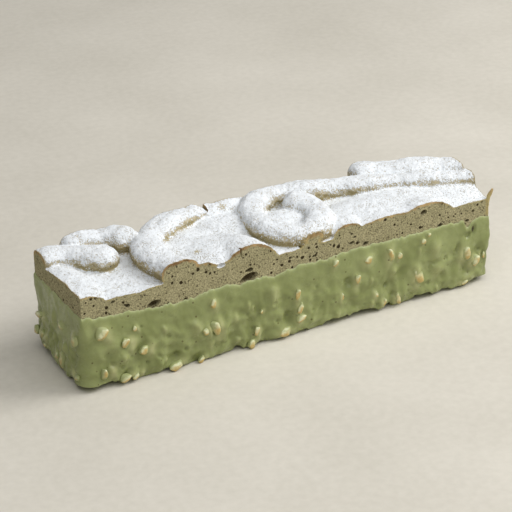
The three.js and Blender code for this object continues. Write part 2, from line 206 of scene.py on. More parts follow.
# The almond pieces that stand out most: (position along the wall, z, width, height, slant).
FRONT_NUTS = [
    (-100.9, 29.7, 4.9, 5.6, 10), (-89.5, 21.2, 3.3, 4.6, 0), (-80.7, 15.5, 4.4, 3.4, 0),
    (-100.7, 8.8, 3.3, 4.6, -10), (-90.4, 3.6, 4.4, 3.4, 0), (-44.2, 29.3, 3.3, 4, 0),
    (-43.5, 16.5, 3.8, 6.3, -30), (-64.9, 2.4, 4.9, 4.6, 20), (-24.8, 2.6, 3.8, 4, 0),
    (-22, 8.2, 2.4, 4.6, 0), (-6.9, 3.9, 6.6, 4, 0), (0.4, 21.3, 2.2, 5.7, 0),
    (1.9, 9, 4.4, 3.4, 0), (21.3, 33, 2.7, 3.2, 0), (39.6, 30.1, 4.9, 3.4, 12),
    (52, 29.6, 3.8, 6.4, -25), (67.8, 14.5, 4.4, 7.4, -12), (33.5, 21, 2.7, 4.6, -15),
    (56.4, 4.9, 2.4, 5.2, 0), (95.8, 19.3, 4.4, 6.4, -30), (101.3, 13.9, 3.8, 5.2, 0),
]
SMALL_FRONT_NUTS = [
    (-84.6, 27.6, 1.6, 2.3, 0), (-85.4, 3.2, 2.7, 2.9, 0), (-48.8, 15.9, 2.7, 3.4, 0),
    (-51.4, 1.6, 2.7, 2.9, 0), (-19.1, 18.1, 1.6, 1.7, 0), (1.4, 14.6, 2.7, 4.6, 0),
    (57.2, 27.7, 2.2, 2.9, 0), (70.9, 31.7, 2.2, 2.3, 0), (24.6, 14.2, 1.6, 3.4, 0),
    (43.8, 10.5, 2.2, 2.9, 0), (48.4, 4.9, 2.2, 3.4, 0), (106, 15.5, 1.6, 2.9, 0),
    (95.1, 3.3, 3.3, 2.3, 0), (74.2, 34.4, 1.6, 1.6, 0),
]
LEFT_NUTS = [
    (18.6, 21, 6, 3.4, 0), (15.5, 11.2, 4.2, 4.6, 0), (-6.5, 26.6, 4.2, 2.6, 0),
    (-6, 8.5, 3.6, 7.6, 0), (-22, 25.8, 3.2, 4.4, 0),
]
SMALL_LEFT_NUTS = [
    (-0.3, 8.3, 3.2, 3.4, 0), (15.2, 6, 3.2, 1.7, 0), (-21.5, 6.7, 4.2, 2.9, 0),
    (22.6, 10.5, 3.6, 4.2, 0),
]
NUT_SHARE_SEEN = 1.2            # a whole piece over the part of it that shows
FRONT_SEAT = 0.46               # how far a front piece's middle stands out, over its half depth
OTHER_SEAT = 0.25               # the same on the other sides
# The scattered almond pieces, in a loose grid on each side.
WIDEST_NUT = 3.1
SMALLEST_NUT = 1.1
NUT_PITCH = 15.5
NUT_ROW_COUNT = 3
NUT_LOW = 2.5
NUT_HIGH_CLEAR = 4.5
NUT_CLEAR = 8
NUT_END_CLEAR = 4
NUT_SEED = 4107
SHOWN_SHARE = 0.6               # of the scattered pieces on the sides that the photo doesn't show

# Folds where the glaze ran down the front: (x and z at the top, x and z at the foot, width, proud).
FOLDS = [
    (-39.3, 18, -42.8, 1, 3.2, 1.3), (-75.2, 15, -76.5, 1, 3.4, 0.9), (-62.5, 10, -61, 1, 3, 0.7),
    (12.5, 12.5, 7, 4, 2.2, 0.8), (17, 13, 14, 2, 2.4, 0.6), (-13.3, 28, -13.8, 20, 2.6, 0.6),
    (63, 24, 61, 3, 4.5, 0.5), (85, 20, 86, 5, 5, 0.6), (-100.5, 26, -100, 9, 4.5, 0.5),
    (36, 13, 35, 1, 4, 0.6), (-92.5, 24, -91, 17, 4, 0.5), (73, 14, 72, 2, 4, 0.6),
]
# Hollows and pinholes in the glaze's front: (x, z, half-width, half-height, depth).
DENTS = [
    (-69.2, 8.8, 4.6, 6.2, 1.0), (-55.6, 5.6, 4.6, 5.4, 1.0), (-35.2, 9, 3.4, 8.4, 1.1),
    (-4.6, 10.4, 3.2, 4.4, 1.2), (-16.6, 24, 2, 4.4, 0.6), (29.3, 20, 2.6, 2.6, 1.8),
    (77.2, 19, 5, 1.6, 0.8), (81, 10.6, 3.8, 3.6, 0.9), (92.6, 22, 1.1, 3, 1.3),
    (97.3, 28, 1.2, 1.1, 5), (100.7, 30.4, 1, 1.9, 5),
    (-37, 27.6, 2.2, 2.4, 0.7), (-87.7, 12, 3.8, 4.4, 0.8), (45, 17, 3, 5, 0.5), (12, 24, 4, 3, 0.5),
    (-82.2, 27.2, 0.6, 0.6, 0.6), (55, 18, 1.4, 1.4, 0.5), (63.5, 7, 0.7, 0.7, 0.7),
]


# ---- Meshes ----
def shown(name, data):
    """Puts a mesh, curve, light or camera in the scene as an object of its own."""
    piece = bpy.data.objects.new(name, data)
    bpy.context.scene.collection.objects.link(piece)
    return piece


def mesh_of(name, points, faces):
    """A mesh from points in millimetres."""
    mesh = bpy.data.meshes.new(name)
    mesh.from_pydata([tuple(point) for point in np.asarray(points) * MM], [], faces)
    mesh.update()
    return mesh


def ringed_solid(name, rings):
    """A closed body through rings of equally many points, from the lowest ring's lid to the last's."""
    count = len(rings[0])
    faces = [list(range(count))[::-1]]
    for row in range(len(rings) - 1):
        for i in range(count):
            j = (i + 1) % count
            faces.append([row * count + i, row * count + j, (row + 1) * count + j, (row + 1) * count + i])
    last = (len(rings) - 1) * count
    faces.append(list(range(last, last + count)))
    return mesh_of(name, np.concatenate(rings), faces)


def finished_mesh(piece):
    """A new mesh of what the piece's modifiers show."""
    return bpy.data.meshes.new_from_object(piece.evaluated_get(bpy.context.evaluated_depsgraph_get()))


def settle(piece):
    """Makes the piece's mesh what its modifiers show, and removes them."""
    mesh = finished_mesh(piece)
    piece.modifiers.clear()
    piece.data = mesh


def cut(piece, tool, operation):
    """Joins or cuts a piece with a tool, which is then removed."""
    modifier = piece.modifiers.new(operation.title(), "BOOLEAN")
    modifier.object = tool
    modifier.operation = operation
    modifier.solver = "MANIFOLD"
    settle(piece)
    bpy.data.objects.remove(tool)


def lumps(points, layers):
    """Smooth unevenness at each point, above and below 0."""
    total = 0
    for size, height, seed in layers:
        shifted = np.asarray(points) / size + seed
        total = total + height * np.array([noise.noise(point) for point in shifted.tolist()])
    return total


def vectors_of(mesh, name):
    """Three numbers for each point of a mesh, such as its normal."""
    flat = np.empty(len(mesh.vertices) * 3, np.float32)
    mesh.vertices.foreach_get(name, flat)
    return flat.reshape(-1, 3).astype(float)


def places_of(mesh):
    """The mesh's points in millimetres."""
    return vectors_of(mesh, "co") / MM


def store(mesh, name, values):
    """Keeps one number for each point, which a material reads by its name."""
    attribute = mesh.attributes.new(name, "FLOAT", "POINT")
    attribute.data.foreach_set("value", np.asarray(values, np.float32))


def smooth_up_to(degrees, mesh):
    """Smooth shading, with an edge sharper than this many degrees left crisp."""
    mesh.shade_smooth()
    mesh.set_sharp_from_angle(angle=math.radians(degrees))


def outline(half_length, half_width, corner, step, arc_points):
    """Points round a rectangle with round corners, and the direction outwards at each, from above.
    How many there are doesn't depend on the corner's radius."""
    points = []
    directions = []
    signs = [(1, 1), (-1, 1), (-1, -1), (1, -1)]
    middles = [(x * (half_length - corner), y * (half_width - corner)) for x, y in signs]
    for quarter, (x, y) in enumerate(middles):
        for angle in np.linspace(quarter, quarter + 1, arc_points) * math.pi / 2:
            directions.append((math.cos(angle), math.sin(angle)))
            points.append((x + corner * math.cos(angle), y + corner * math.sin(angle)))
        ahead = middles[(quarter + 1) % 4]
        steps = round(2 * (half_width if quarter % 2 else half_length) / step)
        start = points[-1]
        for i in range(1, steps):
            share = i / steps
            points.append((start[0] + (ahead[0] - x) * share, start[1] + (ahead[1] - y) * share))
            directions.append(directions[-1])
    return np.array(points), np.array(directions)


# ---- Nodes ----
def add(tree, kind, inputs=(), **settings):
    """Adds a node with its settings. Its inputs are given by name, or as a list in their order. Each is
    set to a value, or linked to an output or to the first output in use of another node."""
    node = tree.nodes.new(kind)
    for name, value in settings.items():
        setattr(node, name, value)
    pairs = inputs.items() if isinstance(inputs, dict) else enumerate(inputs)
    for name, value in pairs:
        if isinstance(value, bpy.types.Node):
            value = next(output for output in value.outputs if output.enabled)
        if isinstance(value, bpy.types.NodeSocket):
            tree.links.new(value, node.inputs[name])
        else:
            node.inputs[name].default_value = value
    return node


def geometry_tree(name, sizes, others):
    """An empty Geometry Nodes tree, and the node that holds its named inputs: sizes, which are
    numbers, others of a kind that is given, and the material."""
    tree = bpy.data.node_groups.new(name, "GeometryNodeTree")
    kinds = {"Geometry": "Geometry", **dict.fromkeys(sizes, "Float"), **others, "Material": "Material"}
    for socket, kind in kinds.items():
        tree.interface.new_socket(socket, in_out="INPUT", socket_type="NodeSocket" + kind)
    tree.interface.new_socket("Geometry", in_out="OUTPUT", socket_type="NodeSocketGeometry")
    return tree, tree.nodes.new("NodeGroupInput").outputs


def end_tree(tree, geometry, given):
    """Every tree ends the same way: real meshes, then their material."""
    real = add(tree, "GeometryNodeRealizeInstances", [geometry])
    dressed = add(tree, "GeometryNodeSetMaterial", {"Geometry": real, "Material": given["Material"]})
    add(tree, "NodeGroupOutput", [dressed])
    return tree


def grown(source, tree, name, settings):
    """The object that a tree grows from a source, which is then removed."""
    modifier = source.modifiers.new(tree.name, "NODES")
    modifier.node_group = tree
    for socket in tree.interface.items_tree:
        if socket.name in settings:
            modifier[socket.identifier] = settings[socket.name]
    mesh = finished_mesh(source)
    bpy.data.objects.remove(source)
    return shown(name, mesh)


# ---- Materials ----
def hue(code):
    """An sRGB hex colour as linear red, green and blue, and alpha."""
    shares = [int(code[i:i + 2], 16) / 255 for i in (1, 3, 5)]
    return [c / 12.92 if c <= 0.04045 else ((c + 0.055) / 1.055) ** 2.4 for c in shares] + [1]


def new_material(name, grains, stored=()):
    """A material, its tree, the place on the piece, and its patterns: a noise for each grain, and what
    store() kept at each point. A grain is its size in millimetres, its detail and its roughness."""
    material = bpy.data.materials.new(name)
    material.use_nodes = True
    tree = material.node_tree
    tree.nodes.clear()
    place = add(tree, "ShaderNodeTexCoord").outputs["Object"]
    patterns = []
    for size, detail, rough in grains:
        inputs = {"Vector": place, "Scale": 1 / (size * MM), "Detail": detail, "Roughness": rough}
        patterns.append(add(tree, "ShaderNodeTexNoise", inputs))
    for kept in stored:
        patterns.append(add(tree, "ShaderNodeAttribute", attribute_name=kept).outputs["Fac"])
    return material, tree, place, patterns


def coated(tree, tone, coats):
    """Lays coats of colour over a tone. Each coat follows a value: over a range of that, the coat's
    share goes from a first to a last amount."""
    for value, (start, end), (first, last), colour in coats:
        share = add(tree, "ShaderNodeMapRange", [value, start, end, first, last])
        tone = add(tree, "ShaderNodeMix", {0: share, 6: tone, 7: colour}, data_type="RGBA")
    return tone


def end_material(material, inputs):
    """Every material ends in one shader."""
    tree = material.node_tree
    shader = add(tree, "ShaderNodeBsdfPrincipled", inputs)
    add(tree, "ShaderNodeOutputMaterial", {"Surface": shader})
    return material


def cut_crumb():
    """Green-tea sponge cut with a knife: a dull olive-tan face, fine pores painted as dark dots for the
    shade inside them, and a browned line where the cut comes out at the baked top."""
    material, tree, place, (mottle, grain, ragged, below_crust, in_pore) = new_material(
        "cut_green_tea_sponge", [(5, 3, 0.5), (0.75, 3, 0.7), (2.2, 3, 0.5)], ["below_crust", "in_pore"],
    )
    tone = coated(tree, hue("#938c6a"), [(mottle, (0, 1), (0, 1), hue("#b4ac88"))])
    # Cell walls catch the light as pale grains.
    walls = add(tree, "ShaderNodeMapRange", [grain, 0.36, 0.64, 0.42, 1.65])
    tone = add(
        tree, "ShaderNodeMix", {0: 0.75, 6: tone, 7: walls}, data_type="RGBA", blend_type="MULTIPLY"
    )
    height = grain
    # Two sizes of pore, each cell's pore with a radius of its own, painted dark as the shade inside it.
    for pitch, widest, dark in ((2.2 * MM, 0.52, 1.0), (1.1 * MM, 0.6, 0.6)):
        cells = add(tree, "ShaderNodeTexVoronoi", {"Vector": place, "Scale": 1 / pitch}).outputs
        radius = add(tree, "ShaderNodeMapRange", [cells["Color"], 0.3, 1, 0.02, widest])
        inside = add(tree, "ShaderNodeMath", [radius, cells["Distance"]], operation="SUBTRACT")
        pore = add(tree, "ShaderNodeMapRange", [inside, 0, 0.1, 0, dark])
        tone = coated(tree, tone, [(pore, (0, 1), (0, 1), hue("#3b3220"))])
        height = add(tree, "ShaderNodeMath", [pore, -1.2, height], operation="MULTIPLY_ADD")
    # The browned line is thicker and darker on the ropes, which stood highest in the oven.
    level = add(tree, "ShaderNodeSeparateXYZ", [place]).outputs["Z"]
    browned = add(tree, "ShaderNodeMapRange", [level, (SPONGE_TOP + 1) * MM, (SPONGE_TOP + 6) * MM])
    thick = add(tree, "ShaderNodeMapRange", [browned, 0, 1, -1.3, -0.4])
    thick = add(tree, "ShaderNodeMath", [ragged, 4, thick], operation="MULTIPLY_ADD")
    line = add(tree, "ShaderNodeMath", [thick, below_crust], operation="SUBTRACT")
    toast = coated(tree, hue("#876845"), [(mottle, (0.4, 0.6), (0, 1), hue("#cbab7c"))])
    brown = coated(tree, hue("#bfb07c"), [(browned, (0, 1), (0, 1), toast)])
    # Little light reaches the bottom of a large pore.
    tone = coated(tree, tone, [
        (line, (0, 0.8), (0, 0.95), brown), (in_pore, (0, 1), (0, 1), hue("#4d432d")),
    ])
    bump = add(tree, "ShaderNodeBump", {"Strength": 0.8, "Distance": 0.25 * MM, "Height": height})
    return end_material(material, {
        "Base Color": tone, "Roughness": 0.95, "Specular IOR Level": 0.15, "Normal": bump,
    })


def sugared_crust():
    """Baked crust under sifted icing sugar: a matt white powder, dense on level places and thinner on
    the flanks, where the golden crust shows through as specks and last as a bare band."""
    material, tree, place, (grain, powder, patch, blotch, dusting) = new_material(
        "baked_crust_with_icing_sugar",
        [(0.85, 2, 0.6), (0.55, 1, 0.6), (5, 2, 0.5), (3, 4, 0.5)], ["dusting"],
    )
    # The three noises make 2.8 on the whole, to which the dusting adds.
    cover = dusting
    for noise_value, share in ((grain, 2.4), (powder, 2.2), (patch, 1)):
        cover = add(tree, "ShaderNodeMath", [noise_value, share, cover], operation="MULTIPLY_ADD")
    white = add(tree, "ShaderNodeMapRange", [cover, 3.1, 3.65], interpolation_type="SMOOTHSTEP")
    level = add(tree, "ShaderNodeSeparateXYZ", [place]).outputs["Z"]
    # The crust is painted darker where little sugar lies, chiefly as shade under an overhang.
    # Elsewhere a film of sugar greys it, even between the grains.
    tone = coated(tree, hue("#a69c78"), [
        (blotch, (0.35, 0.65), (0, 1), hue("#c9b686")),
        (level, ((SPONGE_TOP + 3) * MM, (SPONGE_TOP + 8) * MM), (0, 1), hue("#c6b283")),
        (dusting, (0, 0.3), (0.8, 0), hue("#8d8058")),
        (dusting, (0.05, 0.9), (0, 0.6), hue("#dfe0df")),
        (white, (0, 1), (0, 1), hue("#f2f6fa")),
    ])
    rough = add(tree, "ShaderNodeMapRange", [white, 0, 1, 0.75, 1])
    height = add(tree, "ShaderNodeMath", [white, 0.5, grain], operation="MULTIPLY_ADD")
    bump = add(tree, "ShaderNodeBump", {"Strength": 1, "Distance": 0.4 * MM, "Height": height})
    return end_material(material, {
        "Base Color": tone, "Roughness": rough, "Specular IOR Level": 0.2, "Normal": bump,
    })


def green_glaze():
    """White chocolate with green tea, poured and set: a soft satin olive green that lets light in a
    little, paler where it runs thin over an almond, and along the rim, partly as a painted highlight."""
    material, tree, place, (cloud, ripple, thin, rim, pooled) = new_material(
        "set_green_tea_chocolate", [(11, 3, 0.5), (3, 2, 0.5)], ["thin_over_nut", "rim", "pooled"],
    )
    cells = add(tree, "ShaderNodeTexVoronoi", {"Vector": place, "Scale": 1 / (6 * MM)})
    # It is painted a deeper green in the hollows, partly for thick glaze gathered there and partly as
    # shade, and painted dark as shade in the deepest holes. A few specks of almond skin and tea lie in
    # it.
    tone = coated(tree, hue("#89915b"), [
        (cloud, (0.3, 0.7), (0, 1), hue("#9ba36d")),
        (thin, (0, 1), (0, 0.6), hue("#cccb98")),
        # The rim's paler green is partly its thin edge and partly a painted highlight on the lip.
        (rim, (0, 1), (0, 0.7), hue("#bfc696")),
        (pooled, (0, 0.6), (0, 0.42), hue("#6c7141")),
        (pooled, (0.8, 1), (0, 0.9), hue("#33291a")),
        (cells.outputs["Distance"], (0.06, 0.1), (0.75, 0), hue("#5c4f2c")),
    ])
    gloss = add(tree, "ShaderNodeMapRange", [cloud, 0.3, 0.7, 0.34, 0.22])
    bump = add(tree, "ShaderNodeBump", {"Strength": 0.15, "Distance": 0.2 * MM, "Height": ripple})
    return end_material(material, {
        "Base Color": tone, "Roughness": gloss, "IOR": 1.45, "Specular IOR Level": 0.38, "Normal": bump,
        "Subsurface Weight": 0.2, "Subsurface Radius": (1, 1, 0.5), "Subsurface Scale": 0.8 * MM,
    })


def chopped_almond():
    """Blanched almond, chopped and lightly toasted. The glaze ran over each piece from above and left
    it a pale green cap, while its underside stays bare, waxy and golden. The paler top and golden
    underside are partly painted light and shade."""
    material, tree, _, (blotch, edge, proud) = new_material(
        "chopped_blanched_almond", [(2.4, 2, 0.5), (1.5, 2, 0.5)], ["proud"],
    )
    normal = add(tree, "ShaderNodeNewGeometry").outputs["Normal"]
    up = add(tree, "ShaderNodeSeparateXYZ", [normal]).outputs["Z"]
    # Paler facing up and golden facing down: partly the glaze's cap and the bare nut, partly painted
    # light and shade.
    under = add(tree, "ShaderNodeMath", [blotch, 1.4, up], operation="MULTIPLY_ADD")
    nut = coated(tree, hue("#e1e3ba"), [(under, (0.5, 1.15), (1, 0), hue("#cbb06b"))])
    # At its foot the glaze's skin ends, in a ragged line.
    clear = add(tree, "ShaderNodeMath", [edge, 0.8, proud], operation="MULTIPLY_ADD")
    clear = add(tree, "ShaderNodeMapRange", [clear, 0.9, 1.4], interpolation_type="SMOOTHSTEP")
    tone = coated(tree, hue("#a4ab76"), [(clear, (0, 1), (0, 1), nut)])
    return end_material(material, {
        "Base Color": tone, "Roughness": 0.38, "IOR": 1.46,
        "Subsurface Weight": 0.2, "Subsurface Radius": (1, 0.8, 0.5), "Subsurface Scale": 0.6 * MM,
    })


def plain_floor():
    """Matt painted board, pale and warm, with nothing on it."""
    material, tree, _, (cloud, brushed) = new_material("matt_painted_board", [(90, 4, 0.5), (4, 4, 0.5)])
    cloud = add(tree, "ShaderNodeMath", [brushed, 0.6, cloud], operation="MULTIPLY_ADD")
    tone = coated(tree, hue("#cfcabe"), [(cloud, (0.5, 1.1), (0, 1), hue("#dfdacf"))])
    return end_material(material, {"Base Color": tone, "Roughness": 0.85, "Specular IOR Level": 0.2})


# ---- Sponge ----
def smooth_larger(a, b, blend):
    """The larger of two heights, with a fillet where they cross."""
    near = np.maximum(blend - np.abs(a - b), 0) / blend
    return np.maximum(a, b) + near * near * blend / 4


def plain_block():
    """The loaf before trimming and without its ropes, its top swollen here and there."""
    reach_x = HALF_LENGTH + TRIMMED_OFF
    reach_y = HALF_WIDTH + TRIMMED_OFF
    grid = bmesh.new()
    bmesh.ops.create_grid(
        grid, x_segments=round(2 * reach_x / TOP_CELL), y_segments=round(2 * reach_y / TOP_CELL), size=1,
    )
    flat = np.array([(v.co.x * reach_x, v.co.y * reach_y, 0) for v in grid.verts])
    height = SPONGE_TOP + lumps(flat, TOP_LUMPS)
    for (x, y), (long, wide), rise in SWELLINGS:
        away = ((flat[:, 0] - x) / long) ** 2 + ((flat[:, 1] - y) / wide) ** 2
        dome = np.sqrt(np.maximum(1 - away / SWELLING_SPREAD ** 2, 0))
        dome = SPONGE_TOP - SWELLING_SUNK + (rise + SWELLING_SUNK) * dome
        height = smooth_larger(height, dome, SWELLING_BLEND)
    for vertex, place, z in zip(grid.verts, flat, height):
        vertex.co = Vector((place[0], place[1], z)) * MM
    border = [edge for edge in grid.edges if edge.is_boundary]
    skirt = bmesh.ops.extrude_edge_only(grid, edges=border)["geom"]
    for vertex in (item for item in skirt if isinstance(item, bmesh.types.BMVert)):
        vertex.co.z = (SPONGE_BOTTOM - TRIMMED_OFF) * MM
    bmesh.ops.holes_fill(grid, edges=[edge for edge in grid.edges if edge.is_boundary])
    bmesh.ops.recalc_face_normals(grid, faces=grid.faces)
    mesh = bpy.data.meshes.new("plain_block")
    grid.to_mesh(mesh)
    grid.free()
    return shown("plain_block", mesh)


def piping_guides():
    """One smooth line along the crest of each rope; a point's radius is half the rope's width."""
    lines = bpy.data.curves.new("piping_guides", "CURVE")
    lines.dimensions = "3D"
    lines.resolution_u = 24
    for path, (half_start, half_end), (rise_start, rise_end) in ROPES:
        spline = lines.splines.new("BEZIER")
        spline.bezier_points.add(len(path) - 1)
        gone = [0.0]
        for here, ahead in zip(path, path[1:]):
            gone.append(gone[-1] + math.dist(here, ahead))
        for knot, (x, y), distance in zip(spline.bezier_points, path, gone):
            share = distance / gone[-1]
            rise = rise_start + (rise_end - rise_start) * share
            knot.co = Vector((x, y, SPONGE_TOP + rise)) * MM
            knot.radius = (half_start + (half_end - half_start) * share) * MM
            knot.handle_left_type = "AUTO"
            knot.handle_right_type = "AUTO"
    return shown("piping_guides", lines)


def piping_tree():
    """Sweeps a low full section along each guide, rounds its ends and makes it a little lumpy."""
    tree, given = geometry_tree("piped_rope", [
        "Step", "Depth", "Fullness", "Cake Top", "Wobble", "Wobble Rate", "Lump Size", "Lump Height",
    ], {"Sides": "Int"})
    # A slow swelling and thinning along the way; each rope starts it at a phase of its own.
    length = add(tree, "GeometryNodeSplineLength").outputs
    rail = add(
        tree, "GeometryNodeStoreNamedAttribute",
        {"Geometry": given["Geometry"], "Name": "phase", "Value": length["Point Count"]},
    )
    rail = add(tree, "GeometryNodeResampleCurve", {"Curve": rail, "Length": given["Step"]}, mode="LENGTH")
    rail = add(tree, "GeometryNodeSetCurveNormal", {"Curve": rail}, mode="Z_UP")
    distance = add(tree, "GeometryNodeSplineParameter").outputs["Length"]
    phase = add(tree, "GeometryNodeInputNamedAttribute", {"Name": "phase"})
    swing = add(tree, "ShaderNodeMath", [distance, given["Wobble Rate"], phase], operation="MULTIPLY_ADD")
    swing = add(tree, "ShaderNodeMath", [swing], operation="SINE")
    wobble = add(tree, "ShaderNodeMath", [swing, given["Wobble"], 1], operation="MULTIPLY_ADD")
    radius = add(tree, "GeometryNodeInputRadius")
    half = add(tree, "ShaderNodeMath", [radius, wobble], operation="MULTIPLY")
    # Round ends: the section shrinks as a circle does over the last half width.
    to_end = add(tree, "ShaderNodeMath", [length["Length"], distance], operation="SUBTRACT")
    to_end = add(tree, "ShaderNodeMath", [distance, to_end], operation="MINIMUM")
    short = add(tree, "ShaderNodeMath", [to_end, half], operation="DIVIDE")
    short = add(tree, "ShaderNodeMath", [1, short], operation="SUBTRACT", use_clamp=True)
    short = add(tree, "ShaderNodeMath", [short, short], operation="MULTIPLY")
    round_end = add(tree, "ShaderNodeMath", [1, short], operation="SUBTRACT")
    round_end = add(tree, "ShaderNodeMath", [round_end], operation="SQRT")
    position = add(tree, "GeometryNodeInputPosition")
    height = add(tree, "ShaderNodeSeparateXYZ", [position]).outputs["Z"]
    rise = add(tree, "ShaderNodeMath", [height, given["Cake Top"]], operation="SUBTRACT")
    sunk = add(tree, "ShaderNodeMath", [given["Cake Top"], given["Depth"]], operation="SUBTRACT")
    middle = add(tree, "ShaderNodeMath", [rise, wobble, sunk], operation="MULTIPLY_ADD")
    for name, value in (("half", half), ("middle", middle), ("rail", height)):
        inputs = {"Geometry": rail, "Name": name, "Value": value}
        rail = add(tree, "GeometryNodeStoreNamedAttribute", inputs)

    # The section: a circle made squarer, by the same power along both of its axes.
    circle = add(tree, "GeometryNodeCurvePrimitiveCircle", {"Resolution": given["Sides"], "Radius": 1})
    around = add(tree, "ShaderNodeSeparateXYZ", [position]).outputs
    plump = []
    for axis in ("X", "Y"):
        size = add(tree, "ShaderNodeMath", [around[axis]], operation="ABSOLUTE")
        size = add(tree, "ShaderNodeMath", [size, given["Fullness"]], operation="POWER")
        sign = add(tree, "ShaderNodeMath", [around[axis]], operation="SIGN")
        plump.append(add(tree, "ShaderNodeMath", [size, sign], operation="MULTIPLY"))
    plump = add(tree, "ShaderNodeCombineXYZ", plump)
    section = add(tree, "GeometryNodeSetPosition", {"Geometry": circle, "Position": plump})
    scale = add(tree, "ShaderNodeMath", [half, round_end], operation="MULTIPLY")
    swept = add(
        tree, "GeometryNodeCurveToMesh",
        {"Curve": rail, "Profile Curve": section, "Scale": scale, "Fill Caps": True},
    )

    # The sweep is as high as it is wide, so it is flattened to the section's true height.
    half, middle, height = (
        add(tree, "GeometryNodeInputNamedAttribute", {"Name": name})
        for name in ("half", "middle", "rail")
    )
    place = add(tree, "ShaderNodeSeparateXYZ", [position]).outputs
    flatter = add(tree, "ShaderNodeMath", [given["Depth"], half], operation="DIVIDE")
    above = add(tree, "ShaderNodeMath", [place["Z"], height], operation="SUBTRACT")
    low = add(tree, "ShaderNodeMath", [above, flatter, middle], operation="MULTIPLY_ADD")
    low_place = add(tree, "ShaderNodeCombineXYZ", [place["X"], place["Y"], low])
    rope = add(tree, "GeometryNodeSetPosition", {"Geometry": swept, "Position": low_place})
    fineness = add(tree, "ShaderNodeMath", [1, given["Lump Size"]], operation="DIVIDE")
    lump = add(tree, "ShaderNodeTexNoise", {"Scale": fineness, "Detail": 2})
    out = add(tree, "ShaderNodeMath", [lump, 0.5], operation="SUBTRACT")
    out = add(tree, "ShaderNodeMath", [out, given["Lump Height"]], operation="MULTIPLY")
    normal = add(tree, "GeometryNodeInputNormal")
    push = add(tree, "ShaderNodeVectorMath", {0: normal, "Scale": out}, operation="SCALE")
    rope = add(tree, "GeometryNodeSetPosition", {"Geometry": rope, "Offset": push})
    return end_tree(tree, rope, given)


def cutting_block():
    """What the knife leaves: a long block whose cut faces are torn a little by the crumb. Where the
    glaze hides it, its corners are rounder and it narrows to the bottom."""
    points, directions = outline(HALF_LENGTH, HALF_WIDTH, CUT_CORNER, CUT_CELL, 5)
    rounder, _ = outline(HALF_LENGTH, HALF_WIDTH, HIDDEN_CORNER, CUT_CELL, 5)
    rings = []
    for z, inset in ((SPONGE_BOTTOM, HIDDEN_TAPER), (CUT_FROM - 2, 0.3)):
        rings.append(np.column_stack([rounder - directions * inset, np.full(len(points), z)]))
    for z in np.arange(CUT_FROM, SPONGE_TOP + HEADROOM, CUT_CELL):
        ring = np.column_stack([points, np.full(len(points), z)])
        ring[:, :2] += directions * lumps(ring, TORN_LUMPS)[:, None]
        rings.append(ring)
    return shown("cutting_block", ringed_solid("cutting_block", rings))


def crumb_band():
    """The four cut faces where they show, as the ground that pores are spread on."""
    points, _ = outline(HALF_LENGTH, HALF_WIDTH, CUT_CORNER, 6, 2)
    low = np.column_stack([points, np.full(len(points), CUT_FROM + 1)])
    high = np.column_stack([points, np.full(len(points), SPONGE_TOP + 8)])
    count = len(points)
    faces = [[i, (i + 1) % count, count + (i + 1) % count, count + i] for i in range(count)]
    return shown("crumb_band", mesh_of("crumb_band", np.concatenate([low, high]), faces))


def pore_tree():
    """Spreads small lumpy bubbles over a face, none touching the next."""
    tree, given = geometry_tree("crumb_pores", ["Clear", "Most", "Smallest", "Widest"], {"Seed": "Int"})
    spread = add(
        tree, "GeometryNodeDistributePointsOnFaces",
        {"Mesh": given["Geometry"], "Distance Min": given["Clear"], "Density Max": given["Most"],
         "Seed": given["Seed"]},
        distribute_method="POISSON",
    )
    chance = add(tree, "FunctionNodeRandomValue", {"Seed": given["Seed"]}, data_type="FLOAT")
    rare = add(tree, "ShaderNodeMath", [chance, 3], operation="POWER")
    size = add(tree, "ShaderNodeMapRange", [rare, 0, 1, given["Smallest"], given["Widest"]])
    # The shares of that size along three axes, and the turn about each.
    shape, turn = (
        add(tree, "FunctionNodeRandomValue", {0: least, 1: most, "Seed": seed}, data_type="FLOAT_VECTOR")
        for least, most, seed in (
            ((0.8, 0.8, 0.45), (1, 1, 0.8), 5), ((-0.4, -0.4, 0), (0.4, 0.4, math.tau), 9),
        )
    )
    size = add(tree, "ShaderNodeVectorMath", {0: shape, "Scale": size}, operation="SCALE")
    bubble = add(tree, "GeometryNodeMeshIcoSphere", {"Radius": 0.5, "Subdivisions": 1})
    turn = add(tree, "FunctionNodeEulerToRotation", [turn])
    bubbles = add(
        tree, "GeometryNodeInstanceOnPoints",
        {"Points": spread, "Instance": bubble, "Scale": size, "Rotation": turn},
    )
    return end_tree(tree, bubbles, given)


def stone_tree():
    """Puts a stone of some kind on every point, sized and turned as the point says."""
    tree, given = geometry_tree("strewn_stones", [], {"Stones": "Collection", "Seed": "Int"})
    stones = add(
        tree, "GeometryNodeCollectionInfo",
        {"Collection": given["Stones"], "Separate Children": True, "Reset Children": True},
    )
    size, turn = (
        add(tree, "GeometryNodeInputNamedAttribute", {"Name": name}, data_type="FLOAT_VECTOR")
        for name in ("size", "turn")
    )
    kind = add(tree, "FunctionNodeRandomValue", {4: 0, 5: 99, "Seed": given["Seed"]}, data_type="INT")
    turn = add(tree, "FunctionNodeEulerToRotation", [turn])
    strewn = add(
        tree, "GeometryNodeInstanceOnPoints",
        {"Points": given["Geometry"], "Instance": stones, "Pick Instance": True, "Instance Index": kind,
         "Rotation": turn, "Scale": size},
    )
    return end_tree(tree, strewn, given)


def stones(name, places, sizes, turns, kinds, material):
    """Strews stones: centre and size of each in millimetres, and its turn as angles about X, Y and Z."""
    mesh = mesh_of(name, places, [])
    for attribute, values in (("size", np.asarray(sizes) * MM), ("turn", turns)):
        stored = mesh.attributes.new(attribute, "FLOAT_VECTOR", "POINT")
        stored.data.foreach_set("vector", np.asarray(values, np.float32).ravel())
    settings = {"Stones": kinds, "Seed": 7, "Material": material}
    return grown(shown(name, mesh), stone_tree(), name, settings)


